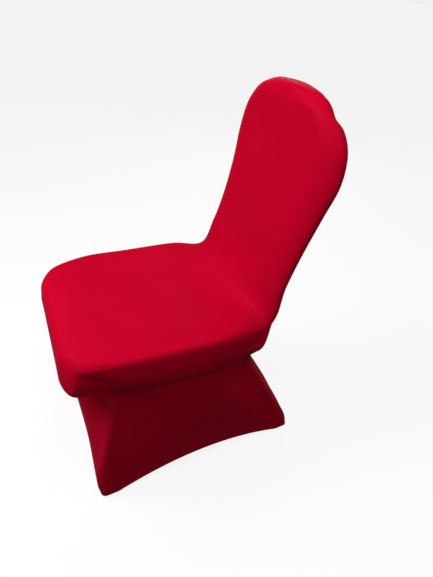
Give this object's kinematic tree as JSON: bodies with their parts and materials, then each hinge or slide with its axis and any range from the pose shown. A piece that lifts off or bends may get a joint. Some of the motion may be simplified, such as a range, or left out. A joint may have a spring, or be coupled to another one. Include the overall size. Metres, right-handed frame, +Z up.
{
  "type": "banquet chair cover",
  "caption": "Fitted stretch-cloth cover for a banquet chair: backrest hood, seat, arched skirts and foot pockets, hollow inside.",
  "frame": {"origin": "on the floor, under the middle of the cover's bounding box", "axes": "+Z up, the seat's front faces -Y, +X to the left of someone who sits on the chair's seat facing forward"},
  "size_m": [0.4536, 0.608, 0.937],
  "materials": {
    "stretch_cloth": "matt red stretch knit with a faint sheen",
    "pocket_cloth": "matt red stretch knit, doubled"
  },
  "bodies": {
    "root": {"front_panel": "stretch_cloth", "rear_panel": "stretch_cloth", "side_panel_left": "stretch_cloth", "side_panel_right": "stretch_cloth", "foot_pocket_front_left": "pocket_cloth", "foot_pocket_front_right": "pocket_cloth", "foot_pocket_rear_left": "pocket_cloth", "foot_pocket_rear_right": "pocket_cloth"}
  },
  "joints": []
}
